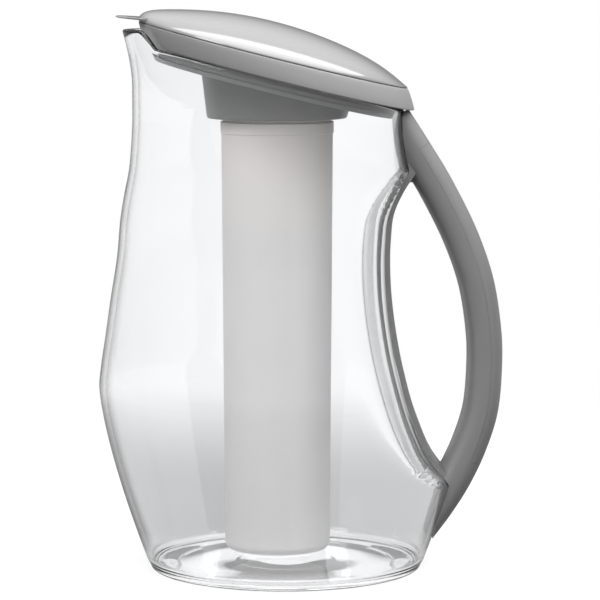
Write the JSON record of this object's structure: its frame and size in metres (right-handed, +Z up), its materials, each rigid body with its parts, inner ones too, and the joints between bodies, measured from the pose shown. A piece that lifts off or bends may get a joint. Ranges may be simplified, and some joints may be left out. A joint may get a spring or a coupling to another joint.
{
  "type": "ice pitcher",
  "caption": "Clear pitcher with a sloping lift-off lid, a grey loop handle and a frosted ice tube that turns out of the lid.",
  "frame": {"origin": "centre of the round base, on the surface that the pitcher stands on", "axes": "+Z up, -X towards the spout, +X towards the handle, the plane y = 0 is the plane of symmetry"},
  "size_m": [0.185, 0.1712, 0.256],
  "materials": {
    "clear_body": "clear acrylic, polished",
    "handle_plastic": "satin grey moulded plastic",
    "lid_plastic": "satin grey moulded plastic",
    "lid_gloss": "light grey glossy plastic",
    "lid_seal": "dark grey silicone",
    "tube_seal": "pale grey silicone",
    "frosted_cup": "frosted translucent plastic",
    "screw_steel": "plain stainless steel"
  },
  "bodies": {
    "vessel": {"vessel": "clear_body", "handle_frame": "handle_plastic", "handle_back_cover": "handle_plastic", "handle_screw": "screw_steel"},
    "lid": {"lid_base": "lid_plastic", "lid_cover": "lid_gloss", "lid_gasket": "lid_seal", "tube_socket": "lid_plastic", "socket_screw_1": "screw_steel", "socket_screw_2": "screw_steel", "socket_screw_3": "screw_steel"},
    "seal": {"tube_seal_ring": "tube_seal"},
    "tube": {"ice_tube": "frosted_cup"}
  },
  "joints": [
    {"name": "lid_lift", "type": "slide", "parent": "vessel", "child": "lid", "axis": [0, 0, 1], "range_m": [0, 0.26]},
    {"name": "tube_drop", "type": "slide", "parent": "lid", "child": "seal", "axis": [0, 0, 1], "range_m": [-0.002, 0]},
    {"name": "tube_turn", "type": "hinge", "parent": "seal", "child": "tube", "pos_m": [-0.0038, 0, 0.21], "axis": [0, 0, 1], "range_deg": [-60, 0]}
  ],
  "couplings": [
    {"joint": "tube_drop", "follows": "tube_turn", "m_per_rad": 0.0019099}
  ]
}
